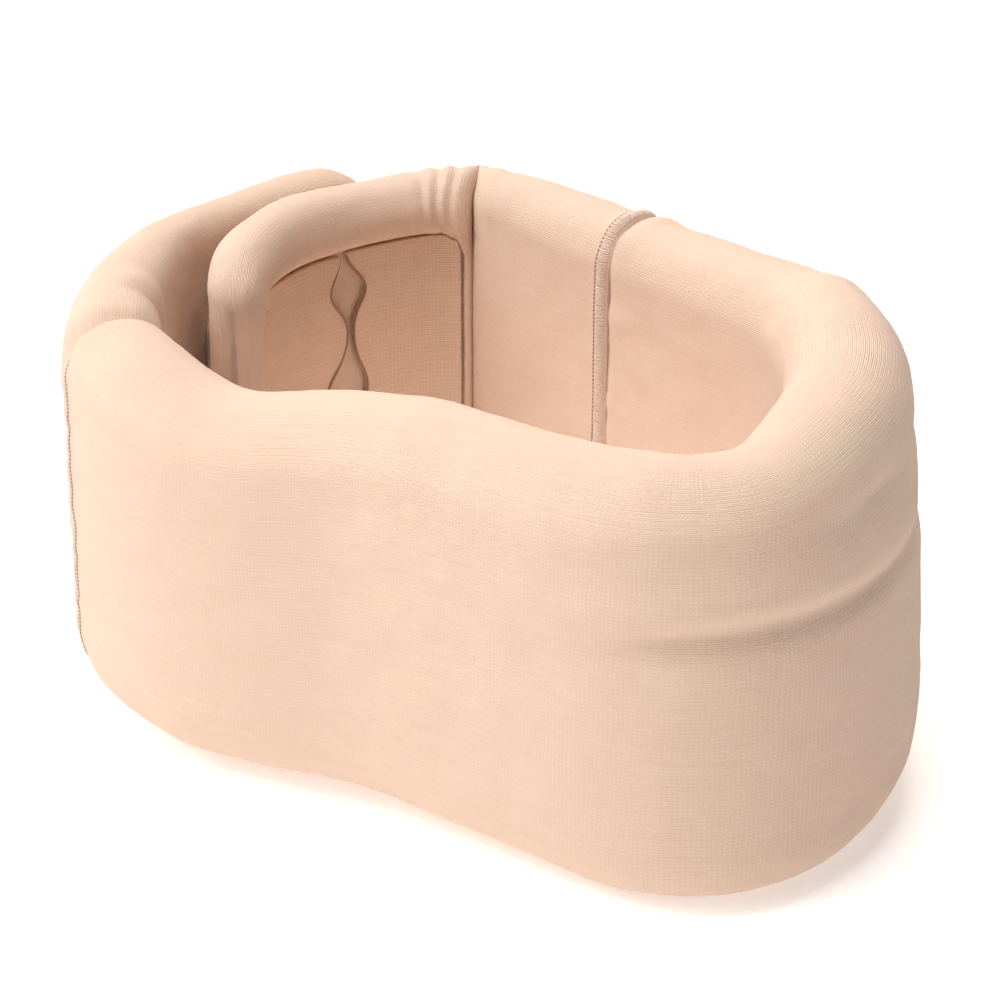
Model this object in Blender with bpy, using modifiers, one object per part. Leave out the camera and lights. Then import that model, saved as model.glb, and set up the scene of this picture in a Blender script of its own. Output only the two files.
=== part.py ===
"""Soft cervical collar: a contoured foam strip in knitted tube covers, closed at the nape by two overlapping flaps.

Frame: metres, +Z up, standing on its lower edge at z = 0, chin at -Y, nape at +Y.
The strip is one front part with a flap on each side. Each piece is a run of cross-sections along a plan curve.
"""

import math

import bmesh
import bpy
import numpy as np

# ---- driving dimensions, metres ----
COVER_THICKNESS = 0.0010  # knitted tube
FIT_GAP = 0.0004  # clearance between nested pieces
SEAM_GAP = 0.0004  # clearance between two covers that meet at a seam
SEAM_WIDTH = 0.0024  # overlocked edge, along the strip
SEAM_THICKNESS = 0.0009
TAPE_THICKNESS = 0.0010  # hook and loop tape
TAPE_WIDTH = 0.038
TAPE_LENGTH = 0.034
TAPE_MID_HEIGHT = 0.042
THREAD_RADIUS = 0.00035
FOLD_GAP = 0.0012  # clearance between the two covers that meet at the inner flap's fold
PLAN_SHIFT = (0.00086, 0.00090)  # puts the origin at the middle of the whole collar
LINING_THICKNESS = 0.0009
LINING_GAP = 0.0008  # between a lining panel and the curved floor it lies on
RECESS_DEPTH = 0.0050  # inside of the inner flap's end
RIM_HEIGHT = 0.0135  # padded rim round that recess
RIM_END = 0.0095  # the same rim at the flap's free end
RIM_RAMP = 0.0030
END_CORNER = 0.0120  # corner radius of each flap's free end
UNDERSIDE_FLAT = 0.42  # share of the thickness that is flat underneath

# plan of the strip's middle line, in the order seam, chin, seam
FRONT_PLAN = (
    (-0.0466, 0.0642), (-0.0515, 0.0535), (-0.0536, 0.0402), (-0.0518, 0.0222), (-0.0472, 0.0038), (-0.0454, -0.0138),
    (-0.0448, -0.0308), (-0.0439, -0.0468), (-0.0393, -0.0629), (-0.0279, -0.0743), (-0.0116, -0.0779), (0.0045, -0.0750),
    (0.0208, -0.0658), (0.0342, -0.0525), (0.0434, -0.0368), (0.0484, -0.0187), (0.0518, -0.0028), (0.0529, 0.0082),
)
OUTER_FLAP_PLAN = (
    (-0.0466, 0.0642), (-0.0406, 0.0694), (-0.0332, 0.0751), (-0.0210, 0.0805), (-0.0010, 0.0843), (0.0190, 0.0846),
    (0.0352, 0.0808), (0.0462, 0.0752),
)
SIDE_FLAP_PLAN = ((0.0529, 0.0082), (0.0546, 0.0220), (0.0552, 0.0370), (0.0543, 0.0510))
END_FLAP_PLAN = (
    (0.0543, 0.0510), (0.0452, 0.0598), (0.0340, 0.0657), (0.0200, 0.0699), (0.0050, 0.0698), (-0.0068, 0.0657),
    (-0.0150, 0.0604),
)

# (share of the length, value) along each piece: half thickness, upper edge, lower edge, inward lean of the upper edge
FRONT_HALF = ((0, 0.0105), (0.1, 0.0122), (0.5, 0.0122), (0.7, 0.0125), (0.9, 0.0111), (1, 0.0100))
FRONT_TOP = (
    (0, 0.0785), (0.02, 0.0860), (0.05, 0.0850), (0.13, 0.0803), (0.2, 0.0838), (0.3, 0.0876), (0.4, 0.0879),
    (0.5, 0.0881), (0.6, 0.0924), (0.7, 0.0936), (0.8, 0.0918), (0.84, 0.0886), (1, 0.0848),
)
FRONT_LOW = ((0, 0.0072), (0.03, 0.0046), (0.15, 0.0033), (0.35, 0.0031), (0.45, 0.0), (0.7, 0.0), (0.85, 0.0035), (1, 0.0035))
FRONT_LEAN = ((0, 0.0), (0.35, 0.0), (0.5, -0.0015), (0.6, -0.0030), (0.75, -0.0030), (0.85, 0.0), (1, 0.0))
OUTER_HALF = ((0, 0.0102), (0.3, 0.0078), (0.5, 0.0055), (1, 0.0050))
OUTER_TOP = ((0, 0.0790), (0.06, 0.0838), (0.2, 0.0852), (0.4, 0.0860), (0.7, 0.0834), (1, 0.0833))
OUTER_LOW = ((0, 0.0075), (0.06, 0.0035), (0.5, 0.0), (1, 0.0))
SIDE_HALF = ((0, 0.0098), (1, 0.0078))
SIDE_TOP = ((0, 0.0848), (1, 0.0852))
SIDE_LOW = ((0, 0.0035), (1, 0.0010))
END_HALF = ((0, 0.0076), (0.12, 0.0062), (0.8, 0.0060), (1, 0.0055))
END_TOP = ((0, 0.0850), (0.3, 0.0845), (0.6, 0.0858), (1, 0.0844))
END_LOW = ((0, 0.0010), (0.2, 0.0), (1, 0.0))

ARC_STEPS = 6  # steps round each rounded edge
WALL_STEPS = 4  # steps up each wall


def spline(points):
    """Natural cubic spline through plan points, as a dense table of length, position."""
    p = np.array(points, float) + np.array(PLAN_SHIFT)
    t = np.concatenate([[0.0], np.cumsum(np.linalg.norm(np.diff(p, axis=0), axis=1))])
    h = np.diff(t)
    n = len(p)
    a = np.eye(n)
    b = np.zeros((n, 2))
    for i in range(1, n - 1):
        a[i, i - 1], a[i, i], a[i, i + 1] = h[i - 1], 2 * (h[i - 1] + h[i]), h[i]
        b[i] = 6 * ((p[i + 1] - p[i]) / h[i] - (p[i] - p[i - 1]) / h[i - 1])
    m = np.linalg.solve(a, b)
    u = np.linspace(0, t[-1], 1600)
    k = np.clip(np.searchsorted(t, u, side="right") - 1, 0, n - 2)
    w = (u - t[k])[:, None]
    hk = h[k][:, None]
    q = (
        p[k]
        + w * ((p[k + 1] - p[k]) / hk - hk * (2 * m[k] + m[k + 1]) / 6)
        + w**2 * m[k] / 2
        + w**3 * (m[k + 1] - m[k]) / (6 * hk)
    )
    s = np.concatenate([[0.0], np.cumsum(np.linalg.norm(np.diff(q, axis=0), axis=1))])
    return s, q


def profile(knots, x):
    """Monotone cubic through (share, value) knots."""
    kx, ky = np.array([k[0] for k in knots], float), np.array([k[1] for k in knots], float)
    h = np.diff(kx)
    d = np.diff(ky) / h
    slope = np.zeros(len(kx))
    for i in range(1, len(kx) - 1):
        if d[i - 1] * d[i] > 0:
            w1, w2 = 2 * h[i] + h[i - 1], h[i] + 2 * h[i - 1]
            slope[i] = (w1 + w2) / (w1 / d[i - 1] + w2 / d[i])
    x = np.clip(np.asarray(x, float), kx[0], kx[-1])
    k = np.clip(np.searchsorted(kx, x, side="right") - 1, 0, len(kx) - 2)
    u = (x - kx[k]) / h[k]
    return (
        ky[k] * (1 + 2 * u) * (1 - u) ** 2
        + slope[k] * h[k] * u * (1 - u) ** 2
        + ky[k + 1] * u**2 * (3 - 2 * u)
        + slope[k + 1] * h[k] * u**2 * (u - 1)
    )


def step(x):
    x = min(max(x, 0.0), 1.0)
    return x * x * (3 - 2 * x)


class Strip:
    """One run of the collar: plan curve, outward side, and its profiles."""

    def __init__(self, plan, side, half, top, low, lean=((0, 0.0), (1, 0.0)), free_end=False, recess=False, turn=(0.0, 0.0)):
        self.s, self.q = spline(plan)
        self.length = self.s[-1]
        self.side, self.half, self.top, self.low, self.lean = side, half, top, low, lean
        self.free_end, self.recess, self.turn = free_end, recess, turn

    def place(self, s):
        """Plan position and outward normal at length s. Each end's section is turned into the plane of its seam."""
        x, y = (float(np.interp(s, self.s, self.q[:, i])) for i in (0, 1))
        d = 0.0006
        a, b = max(s - d, 0.0), min(s + d, self.length)
        tx, ty = (float(np.interp(b, self.s, self.q[:, i]) - np.interp(a, self.s, self.q[:, i])) for i in (0, 1))
        angle = math.atan2(ty, tx)
        angle += self.turn[0] * (1 - step(s / 0.02)) + self.turn[1] * (1 - step((self.length - s) / 0.02))
        return (x, y), (self.side * math.sin(angle), -self.side * math.cos(angle))

    def sizes(self, s):
        u = s / self.length
        half, top, low, lean = (float(profile(k, u)) for k in (self.half, self.top, self.low, self.lean))
        if self.free_end:
            left = max(self.length - s, 0.0)
            if left < END_CORNER:
                drop = END_CORNER * (1 - math.sqrt(1 - (1 - left / END_CORNER) ** 2))
                top, low = top - 0.8 * drop, low + 0.8 * drop
            if left < half:
                half *= math.sqrt(1 - (1 - left / half) ** 2)
        return half, top, low, lean

    def recess_at(self, s, z, grow=0.0):
        """Depth of the recess. It is wider by grow all round on a piece that lies inside the cover."""
        if not self.recess:
            return 0.0
        rim, rim_end = RIM_HEIGHT - grow, RIM_END - grow
        return (
            RECESS_DEPTH
            * step((s - 0.004 + grow) / RIM_RAMP)
            * step((self.length - rim_end - s) / RIM_RAMP)
            * step((z - rim) / RIM_RAMP)
            * step((float(profile(self.top, s / self.length)) - rim - z) / RIM_RAMP)
        )

    def point(self, s, n, z):
        """World point at length s, n outward from the middle line, height z."""
        (x, y), (nx, ny) = self.place(s)
        lean = self.sizes(s)[3] * (z - 0.04) / 0.04
        return (x + (n + lean) * nx, y + (n + lean) * ny, z)

    def ring(self, s, inset):
        """Closed cross-section, shrunk by inset (grown if negative): outer wall, upper edge, inner wall, underside."""
        half, top, low, _ = self.sizes(s)
        deep = half
        half, top, low = half - inset, top - inset, low + inset
        up, down = top - half, low + 0.8 * half
        points = [(half, down + (up - down) * i / WALL_STEPS) for i in range(WALL_STEPS)]
        points += [
            (half * math.cos(math.pi * i / (2 * ARC_STEPS)), up + half * math.sin(math.pi * i / (2 * ARC_STEPS)))
            for i in range(2 * ARC_STEPS)
        ]
        if self.recess:
            grow = 1.2 * inset
            rim = RIM_HEIGHT - grow
            brim = float(profile(self.top, s / self.length)) - rim
            levels = [up, brim, brim - RIM_RAMP, 0.042, rim + RIM_RAMP, rim]
            points += [(-half + self.recess_at(s, z, grow), z) for z in levels]
        else:
            points += [(-half, up + (down - up) * i / WALL_STEPS) for i in range(WALL_STEPS)]
        flat = UNDERSIDE_FLAT * deep
        flat = min(flat, half * 0.7)
        edge = 0.8 * half
        for i in range(3):
            a = math.pi / 2 * i / 3
            points.append((-flat - (half - flat) * math.cos(a), low + edge * (1 - math.sin(a))))
        points.append((-flat, low))
        points.append((flat, low))
        for i in range(2, 0, -1):
            a = math.pi / 2 * i / 3
            points.append((flat + (half - flat) * math.cos(a), low + edge * (1 - math.sin(a))))
        return [self.point(s, n, z) for n, z in points]

    def stations(self, first, last, pitch, grow=0.0):
        cuts = [first]
        if self.free_end:
            # closer sections round the free end
            tail = [self.length - END_CORNER * f for f in (1.0, 0.62, 0.36, 0.17)]
            tail = [s for s in tail if s < last - 0.0006]
            body_end = tail[0]
        else:
            tail, body_end = [], last
        marks = []
        if self.recess:
            head, rim = 0.004 - grow, RIM_END - grow
            marks = [head, head + RIM_RAMP, 0.0090, 0.0130, self.length - rim - RIM_RAMP, self.length - rim]
        marks = [m for m in marks if first + 0.001 < m < body_end - 0.0008] + [body_end]
        for mark in marks:
            gap = mark - cuts[-1]
            count = max(1, round(gap / pitch))
            start = cuts[-1]
            cuts += [start + gap * (i + 1) / count for i in range(count)]
        return cuts + tail[1:] + ([last] if tail else [])


# ---- scene helpers ----
for old in list(bpy.data.objects):
    bpy.data.objects.remove(old, do_unlink=True)

parts = bpy.data.collections.new("cervical_collar")
bpy.context.scene.collection.children.link(parts)


def material(name, colour, roughness):
    m = bpy.data.materials.new(name)
    m.use_nodes = True
    shader = m.node_tree.nodes["Principled BSDF"]
    shader.inputs["Base Color"].default_value = (*colour, 1.0)
    shader.inputs["Roughness"].default_value = roughness
    shader.inputs["Metallic"].default_value = 0.0
    return m


KNIT = (0.90, 0.69, 0.54)
MATERIALS = {
    "knit": (KNIT, 0.95),
    "foam": ((0.93, 0.90, 0.80), 0.9),
    "thread": ((0.86, 0.64, 0.49), 0.8),
    "hook": ((0.80, 0.62, 0.50), 0.6),
    "loop": ((0.86, 0.68, 0.56), 1.0),
    "lining": ((0.84, 0.60, 0.44), 0.9),
}


def finish(name, mesh, kind, parent=None):
    obj = bpy.data.objects.new(name, mesh)
    parts.objects.link(obj)
    colour, roughness = MATERIALS[kind]
    mesh.materials.append(material(name + "_material", colour, roughness))
    if parent is not None:
        obj.parent = parent
        obj.matrix_parent_inverse = parent.matrix_world.inverted()
    return obj


def loft(name, rings, close_first, close_last, kind, parent=None):
    """Skin through the rings, with a cap on each end asked for."""
    bm = bmesh.new()
    rows = [[bm.verts.new(p) for p in ring] for ring in rings]
    count = len(rows[0])
    for a, b in zip(rows, rows[1:]):
        for i in range(count):
            j = (i + 1) % count
            bm.faces.new((a[i], a[j], b[j], b[i]))
    if close_first:
        bm.faces.new(rows[0])
    if close_last:
        bm.faces.new(list(reversed(rows[-1])))
    bmesh.ops.recalc_face_normals(bm, faces=bm.faces[:])
    if not (close_first and close_last):
        # an open skin: turn its faces away from the strip's middle line
        mid = sum((v.co for v in rows[0]), rows[0][0].co * 0) / count
        face = min(bm.faces, key=lambda f: (f.calc_center_median() - rows[0][0].co).length)
        if (face.calc_center_median() - mid).dot(face.normal) < 0:
            bmesh.ops.reverse_faces(bm, faces=bm.faces[:])
    mesh = bpy.data.meshes.new(name)
    bm.to_mesh(mesh)
    bm.free()
    mesh.shade_smooth()
    return finish(name, mesh, kind, parent)


def thicken(obj, thickness, outward=False):
    m = obj.modifiers.new("thickness", "SOLIDIFY")
    m.thickness = thickness
    m.offset = 1.0 if outward else -1.0
    m.use_even_offset = True
    return obj


def sheet(name, rows, thickness, kind, parent=None, flip=False):
    """A patch on a curved face, as an open grid of points with a thickness outwards from it."""
    bm = bmesh.new()
    grid = [[bm.verts.new(p) for p in row] for row in rows]
    for a, b in zip(grid, grid[1:]):
        for i in range(len(a) - 1):
            quad = (a[i], a[i + 1], b[i + 1], b[i])
            bm.faces.new(tuple(reversed(quad)) if flip else quad)
    mesh = bpy.data.meshes.new(name)
    bm.to_mesh(mesh)
    bm.free()
    mesh.shade_smooth()
    return thicken(finish(name, mesh, kind, parent), thickness, outward=True)


def axis_empty(name, location):
    empty = bpy.data.objects.new(name, None)
    empty.empty_display_size = 0.02
    empty.location = location
    parts.objects.link(empty)
    bpy.context.view_layer.update()
    return empty


# ---- the four runs of the strip ----
def heading(strip, at_end):
    (ax, ay), (bx, by) = (strip.q[-2], strip.q[-1]) if at_end else (strip.q[0], strip.q[1])
    return math.atan2(by - ay, bx - ax)


def wrap(a):
    return (a + math.pi) % (2 * math.pi) - math.pi


front = Strip(FRONT_PLAN, 1, FRONT_HALF, FRONT_TOP, FRONT_LOW, FRONT_LEAN)
outer = Strip(OUTER_FLAP_PLAN, -1, OUTER_HALF, OUTER_TOP, OUTER_LOW, free_end=True)
side = Strip(SIDE_FLAP_PLAN, 1, SIDE_HALF, SIDE_TOP, SIDE_LOW)
end = Strip(END_FLAP_PLAN, 1, END_HALF, END_TOP, END_LOW, free_end=True, recess=True)

# each pair of runs that meet shares one cutting plane, halfway between their headings
left_turn = wrap(heading(outer, False) - (heading(front, False) + math.pi)) / 2
front.turn = (left_turn, wrap(heading(side, False) - heading(front, True)) / 2)
outer.turn = (-left_turn, 0.0)
fold = wrap(heading(end, False) - heading(side, True))
side.turn = (-front.turn[1], fold / 2)
end.turn = (-fold / 2, 0.0)


def hinge_point(strip, s):
    """Where a flap bends: on the strip's outer face, in the seam's plane."""
    (x, y), (nx, ny) = strip.place(s)
    half = strip.sizes(s)[0]
    return (x + half * nx, y + half * ny, 0.0)


OUTER_AXIS = hinge_point(front, 0.0)
SIDE_AXIS = hinge_point(front, front.length)
FOLD_AXIS = hinge_point(side, side.length)

outer_axis = axis_empty("outer_flap_axis", OUTER_AXIS)
side_axis = axis_empty("inner_flap_axis", SIDE_AXIS)
fold_axis = axis_empty("inner_flap_fold_axis", FOLD_AXIS)
fold_axis.parent = side_axis
fold_axis.matrix_parent_inverse = side_axis.matrix_world.inverted()
bpy.context.view_layer.update()

core_inset = COVER_THICKNESS + FIT_GAP
half_seam = SEAM_GAP / 2


def covered(strip, name_cover, name_core, first, last, pitch, parent=None):
    """The knitted tube over a run, and the foam inside it."""
    cuts = strip.stations(first, last, pitch)
    tube = loft(name_cover, [strip.ring(s, 0.0) for s in cuts], False, strip.free_end, "knit", parent)
    thicken(tube, COVER_THICKNESS)
    inner = last - (2.8 * core_inset if strip.free_end else FIT_GAP)
    cuts = [s for s in strip.stations(first, last, pitch, 1.2 * core_inset) if s < inner - 0.0004]
    cuts[0] = first + FIT_GAP
    cuts.append(inner)
    loft(name_core, [strip.ring(s, core_inset) for s in cuts], True, True, "foam", parent)


covered(front, "front_knit_cover", "front_foam_core", half_seam, front.length - half_seam, 0.0095)
covered(outer, "outer_flap_cover", "outer_flap_foam", half_seam, outer.length - 0.0008, 0.0085, outer_axis)
covered(side, "inner_flap_side_cover", "inner_flap_side_foam", half_seam, side.length - FOLD_GAP / 2, 0.0095, side_axis)
covered(end, "inner_flap_end_cover", "inner_flap_end_foam", FOLD_GAP / 2, end.length - 0.0008, 0.0085, fold_axis)


# ---- overlocked seams, which stand proud round each end of the front cover ----
def seam(name, strip, middle):
    cuts = [middle - SEAM_WIDTH / 2, middle, middle + SEAM_WIDTH / 2]
    band = loft(name, [strip.ring(s, -FIT_GAP) for s in cuts], False, False, "thread")
    return thicken(band, SEAM_THICKNESS, outward=True)


seam("left_overlock_seam", front, half_seam + 0.0003 + SEAM_WIDTH / 2)
seam("right_overlock_seam", front, front.length - half_seam - 0.0003 - SEAM_WIDTH / 2)


# ---- hook and loop tape where the flaps overlap ----
def nearest_length(strip, x, y):
    return float(strip.s[np.argmin(np.hypot(strip.q[:, 0] - x, strip.q[:, 1] - y))])


TAPE_PLACE = (0.0150, 0.0790)  # plan point between the two flaps, at the middle of the overlap


def patch(name, strip, outward, kind, parent):
    middle = nearest_length(strip, *TAPE_PLACE)
    rows = []
    for i in range(7):
        s = middle + TAPE_LENGTH * (i / 6 - 0.5)
        half = strip.sizes(s)[0]
        offset = (half + FIT_GAP) * (1 if outward else -1)
        rows.append([strip.point(s, offset, TAPE_MID_HEIGHT + TAPE_WIDTH * (j / 2 - 0.5)) for j in range(3)])
    # the patch grows away from its own flap
    (_, _), (nx, ny) = strip.place(middle)
    a, b, c = (np.array(p) for p in (rows[0][0], rows[0][1], rows[1][0]))
    normal = np.cross(b - a, c - a)
    away = (nx, ny) if outward else (-nx, -ny)
    flip = normal[0] * away[0] + normal[1] * away[1] < 0
    tape = sheet(name, rows, TAPE_THICKNESS, kind, parent, flip=flip)
    return middle, tape


def stitching(name, strip, middle, outward, parent):
    """The sewn line round a tape, one closed loop of thread on the cover."""
    margin = 0.0016
    length, width = TAPE_LENGTH / 2 + margin, TAPE_WIDTH / 2 + margin
    corner = 0.0015
    loop = []
    for cx, cz, start in ((1, 1, 0), (-1, 1, 90), (-1, -1, 180), (1, -1, 270)):
        for i in range(3):
            a = math.radians(start + 45 * i)
            loop.append((cx * (length - corner) + corner * math.cos(a), cz * (width - corner) + corner * math.sin(a)))
    dense = []
    for (s0, z0), (s1, z1) in zip(loop, loop[1:] + loop[:1]):
        count = max(1, round(abs(s1 - s0) / 0.006))
        dense += [(s0 + (s1 - s0) * i / count, z0 + (z1 - z0) * i / count) for i in range(count)]
    curve = bpy.data.curves.new(name, "CURVE")
    curve.dimensions = "3D"
    curve.bevel_depth = THREAD_RADIUS
    curve.bevel_resolution = 1
    line = curve.splines.new("POLY")
    line.points.add(len(dense) - 1)
    for point, (s, z) in zip(line.points, dense):
        s += middle
        lift = strip.sizes(s)[0] + FIT_GAP + THREAD_RADIUS
        point.co = (*strip.point(s, lift if outward else -lift, TAPE_MID_HEIGHT + z), 1.0)
    line.use_cyclic_u = True
    obj = bpy.data.objects.new(name, curve)
    parts.objects.link(obj)
    colour, roughness = MATERIALS["thread"]
    curve.materials.append(material(name + "_material", colour, roughness))
    obj.parent = parent
    obj.matrix_parent_inverse = parent.matrix_world.inverted()


hook_middle, _ = patch("hook_tape", outer, False, "hook", outer_axis)
stitching("hook_tape_stitching", outer, hook_middle, False, outer_axis)
loop_middle, _ = patch("loop_tape", end, True, "loop", fold_axis)
stitching("loop_tape_stitching", end, loop_middle, True, fold_axis)


# ---- lining panels on the floor of the recess, either side of a waisted slot ----
def lining(name, first, last):
    """first and last give the panel's two edges as lengths along the flap, at a height."""
    bottom, top = RIM_HEIGHT + RIM_RAMP + 0.0012, 0.0845 - RIM_HEIGHT - RIM_RAMP - 0.0012
    rows = []
    for i in range(9):
        z = bottom + (top - bottom) * i / 8
        a, b = first(z), last(z)
        row = []
        for j in range(6):
            s = a + (b - a) * j / 5
            half = end.sizes(s)[0]
            row.append(end.point(s, -half + RECESS_DEPTH - LINING_GAP, z))
        rows.append(row)
    a, b, c = (np.array(p) for p in (rows[0][0], rows[0][1], rows[1][0]))
    normal = np.cross(b - a, c - a)
    (_, _), (nx, ny) = end.place(0.5 * (first(0.04) + last(0.04)))
    return sheet(name, rows, LINING_THICKNESS, "lining", fold_axis, flip=normal[0] * nx + normal[1] * ny > 0)


RECESS_FIRST = 0.004 + RIM_RAMP + 0.0012
RECESS_LAST = end.length - RIM_END - RIM_RAMP - 0.0020
SLOT_MIDDLE = RECESS_FIRST + 0.44 * (RECESS_LAST - RECESS_FIRST)


def slot_half(z):
    return 0.0008 + 0.0042 * math.sin(math.pi * min(max((z - 0.017) / 0.052, 0.0), 1.0)) ** 1.5


lining("recess_lining_side", lambda z: RECESS_FIRST, lambda z: SLOT_MIDDLE - slot_half(z))
lining("recess_lining_end", lambda z: SLOT_MIDDLE + slot_half(z), lambda z: RECESS_LAST)
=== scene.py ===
"""Soft cervical collar: knitted covers over foam, overlocked seams, a recessed inner flap and hook-and-loop tapes.

Every soft piece is a run of cross-sections along the plan curve of its part of the collar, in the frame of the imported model
(metres, +Z up, chin at -Y, nape at +Y). On each cover u runs along the strip and v round its cross-section.
"""

import math

import bpy
import numpy as np
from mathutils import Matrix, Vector


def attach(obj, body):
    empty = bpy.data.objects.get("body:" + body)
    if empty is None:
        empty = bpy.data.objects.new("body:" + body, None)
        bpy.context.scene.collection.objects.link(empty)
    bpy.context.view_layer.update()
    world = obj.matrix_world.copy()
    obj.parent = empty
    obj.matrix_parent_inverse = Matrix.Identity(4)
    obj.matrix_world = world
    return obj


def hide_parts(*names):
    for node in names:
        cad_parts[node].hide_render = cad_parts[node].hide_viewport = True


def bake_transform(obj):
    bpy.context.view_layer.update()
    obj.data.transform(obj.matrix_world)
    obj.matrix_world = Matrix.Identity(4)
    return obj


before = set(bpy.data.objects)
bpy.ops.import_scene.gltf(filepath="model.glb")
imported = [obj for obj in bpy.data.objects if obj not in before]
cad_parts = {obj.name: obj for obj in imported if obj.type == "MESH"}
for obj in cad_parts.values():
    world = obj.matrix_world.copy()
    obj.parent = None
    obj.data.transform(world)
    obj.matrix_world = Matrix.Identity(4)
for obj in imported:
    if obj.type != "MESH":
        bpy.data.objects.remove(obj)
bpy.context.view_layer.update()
scene = bpy.context.scene

# ---- camera ----
TARGET = Vector((-0.00074, 0.00610, 0.0435))
AZIMUTH, ELEVATION, DISTANCE = math.radians(-53.13), math.radians(28.0), 0.70
BACK = Vector((math.sin(AZIMUTH) * math.cos(ELEVATION), -math.cos(AZIMUTH) * math.cos(ELEVATION), math.sin(ELEVATION)))
camera = bpy.data.objects.new("studio_camera", bpy.data.cameras.new("studio_camera"))
scene.collection.objects.link(camera)
camera.data.lens = 126.0
camera.data.sensor_width = 36.0
camera.data.clip_start, camera.data.clip_end = 0.05, 20.0
camera.location = TARGET + BACK * DISTANCE
camera.rotation_mode = "QUATERNION"
camera.rotation_quaternion = (-BACK).to_track_quat("-Z", "Y")
scene.camera = camera

# ---- sizes, metres ----
PLAN_SHIFT = (0.00086, 0.00090)
KNIT_WALE, KNIT_COURSE = 0.00078, 0.00068
TAPE_WIDTH, TAPE_LENGTH, TAPE_MID_HEIGHT, TAPE_PLACE = 0.038, 0.034, 0.042, (0.0150, 0.0790)
END_CORNER = 0.0120
RIM_HEIGHT = 0.0130
RIM_END = 0.0080
RECESS_DEPTH = 0.0050
UNDERSIDE_FLAT = 0.15

FRONT_PLAN = (
    (-0.0466, 0.0642), (-0.0515, 0.0535), (-0.0536, 0.0402), (-0.0518, 0.0222), (-0.0472, 0.0038), (-0.0454, -0.0138),
    (-0.0448, -0.0308), (-0.0439, -0.0468), (-0.0393, -0.0629), (-0.0279, -0.0743), (-0.0116, -0.0779), (0.0045, -0.0750),
    (0.0208, -0.0658), (0.0342, -0.0525), (0.0434, -0.0368), (0.0484, -0.0187), (0.0518, -0.0028), (0.0529, 0.0082),
)
OUTER_FLAP_PLAN = (
    (-0.0466, 0.0642), (-0.0406, 0.0694), (-0.0332, 0.0751), (-0.0210, 0.0805), (-0.0010, 0.0843), (0.0190, 0.0846),
    (0.0352, 0.0808), (0.0462, 0.0752),
)
SIDE_FLAP_PLAN = ((0.0529, 0.0082), (0.0546, 0.0220), (0.0552, 0.0370), (0.0543, 0.0510))
END_FLAP_PLAN = (
    (0.0543, 0.0510), (0.0452, 0.0598), (0.0340, 0.0657), (0.0200, 0.0699), (0.0050, 0.0698), (-0.0068, 0.0657),
    (-0.0150, 0.0604),
)
FRONT_HALF = ((0, 0.0105), (0.1, 0.0122), (0.5, 0.0122), (0.7, 0.0125), (0.9, 0.0111), (1, 0.0100))
FRONT_TOP = (
    (0, 0.0785), (0.02, 0.0860), (0.05, 0.0850), (0.13, 0.0803), (0.2, 0.0838), (0.3, 0.0876), (0.4, 0.0879),
    (0.5, 0.0881), (0.6, 0.0924), (0.7, 0.0936), (0.8, 0.0918), (0.84, 0.0886), (1, 0.0848),
)
FRONT_LOW = ((0, 0.0072), (0.03, 0.0046), (0.15, 0.0033), (0.35, 0.0031), (0.45, 0.0), (0.7, 0.0), (0.85, 0.0035), (1, 0.0035))
FRONT_LEAN = ((0, 0.0), (0.35, 0.0), (0.5, -0.0015), (0.6, -0.0030), (0.75, -0.0030), (0.85, 0.0), (1, 0.0))
OUTER_HALF = ((0, 0.0102), (0.3, 0.0078), (0.5, 0.0055), (1, 0.0050))
OUTER_TOP = ((0, 0.0790), (0.06, 0.0838), (0.2, 0.0852), (0.4, 0.0860), (0.7, 0.0834), (1, 0.0833))
OUTER_LOW = ((0, 0.0075), (0.06, 0.0035), (0.5, 0.0), (1, 0.0))
SIDE_HALF = ((0, 0.0098), (1, 0.0078))
SIDE_TOP = ((0, 0.0848), (1, 0.0852))
SIDE_LOW = ((0, 0.0035), (1, 0.0010))
END_HALF = ((0, 0.0076), (0.12, 0.0062), (0.8, 0.0060), (1, 0.0055))
END_TOP = ((0, 0.0850), (0.3, 0.0845), (0.6, 0.0858), (1, 0.0844))
END_LOW = ((0, 0.0010), (0.2, 0.0), (1, 0.0))
FLAT = ((0, 0.0), (1, 0.0))
# how far the soft lower edge of the front is drawn in under it
FRONT_TUCK = ((0, 0.0), (0.3, 0.0007), (0.42, 0.0012), (0.55, 0.0034), (0.7, 0.0056), (0.85, 0.0010), (1, 0.0))
TUCK_HEIGHT = 0.032


# ---- curves and profiles ----
def spline(points):
    """Natural cubic spline through plan points, as a dense table of length and position."""
    p = np.array(points, float) + np.array(PLAN_SHIFT)
    t = np.concatenate([[0.0], np.cumsum(np.linalg.norm(np.diff(p, axis=0), axis=1))])
    h = np.diff(t)
    n = len(p)
    a, b = np.eye(n), np.zeros((n, 2))
    for i in range(1, n - 1):
        a[i, i - 1], a[i, i], a[i, i + 1] = h[i - 1], 2 * (h[i - 1] + h[i]), h[i]
        b[i] = 6 * ((p[i + 1] - p[i]) / h[i] - (p[i] - p[i - 1]) / h[i - 1])
    m = np.linalg.solve(a, b)
    u = np.linspace(0, t[-1], 1600)
    k = np.clip(np.searchsorted(t, u, side="right") - 1, 0, n - 2)
    w, hk = (u - t[k])[:, None], h[k][:, None]
    q = (
        p[k]
        + w * ((p[k + 1] - p[k]) / hk - hk * (2 * m[k] + m[k + 1]) / 6)
        + w**2 * m[k] / 2
        + w**3 * (m[k + 1] - m[k]) / (6 * hk)
    )
    return np.concatenate([[0.0], np.cumsum(np.linalg.norm(np.diff(q, axis=0), axis=1))]), q


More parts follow.
